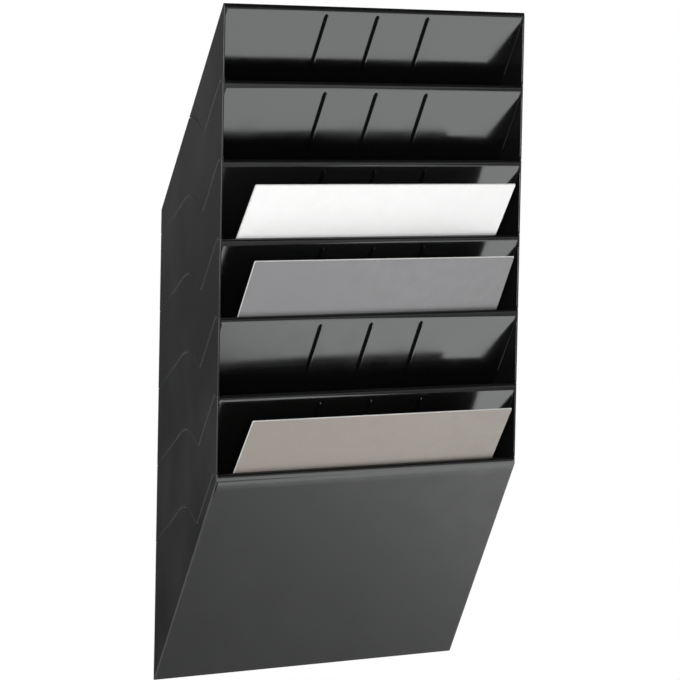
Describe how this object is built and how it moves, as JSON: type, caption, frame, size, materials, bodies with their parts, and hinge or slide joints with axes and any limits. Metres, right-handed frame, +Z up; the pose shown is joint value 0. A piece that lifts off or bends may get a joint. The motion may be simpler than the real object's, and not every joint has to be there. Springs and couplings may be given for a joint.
{
  "type": "wall chart rack",
  "caption": "Wall-hung black plastic chart rack: slanted pockets one above the other, nested mouldings with wavy side seams, holding A4 charts laid landscape.",
  "frame": {"origin": "on the wall plane, midway between the two keyholes of the highest back strip", "axes": "+X to the right seen from the room, +Y into the wall, +Z up"},
  "size_m": [0.345, 0.107, 0.5981],
  "materials": {
    "black_plastic": "glossy moulded black",
    "paper_white": "smooth white card",
    "paper_grey": "smooth grey card",
    "paper_taupe": "smooth taupe card"
  },
  "bodies": {
    "rack": {"top_cover": "black_plastic", "pocket_tray_1": "black_plastic", "pocket_tray_2": "black_plastic", "pocket_tray_3": "black_plastic", "pocket_tray_4": "black_plastic", "pocket_tray_5": "black_plastic", "bottom_tray": "black_plastic"},
    "chart_white": {"chart_white": "paper_white"},
    "chart_grey": {"chart_grey": "paper_grey"},
    "chart_taupe": {"chart_taupe": "paper_taupe"}
  },
  "joints": [
    {"name": "chart_white_slide", "type": "slide", "parent": "rack", "child": "chart_white", "axis": [0, -0.4865, 0.8737], "range_m": [0, 0.15]},
    {"name": "chart_grey_slide", "type": "slide", "parent": "rack", "child": "chart_grey", "axis": [0, -0.4244, 0.9055], "range_m": [0, 0.15]},
    {"name": "chart_taupe_slide", "type": "slide", "parent": "rack", "child": "chart_taupe", "axis": [0, -0.4865, 0.8737], "range_m": [0, 0.15]}
  ]
}
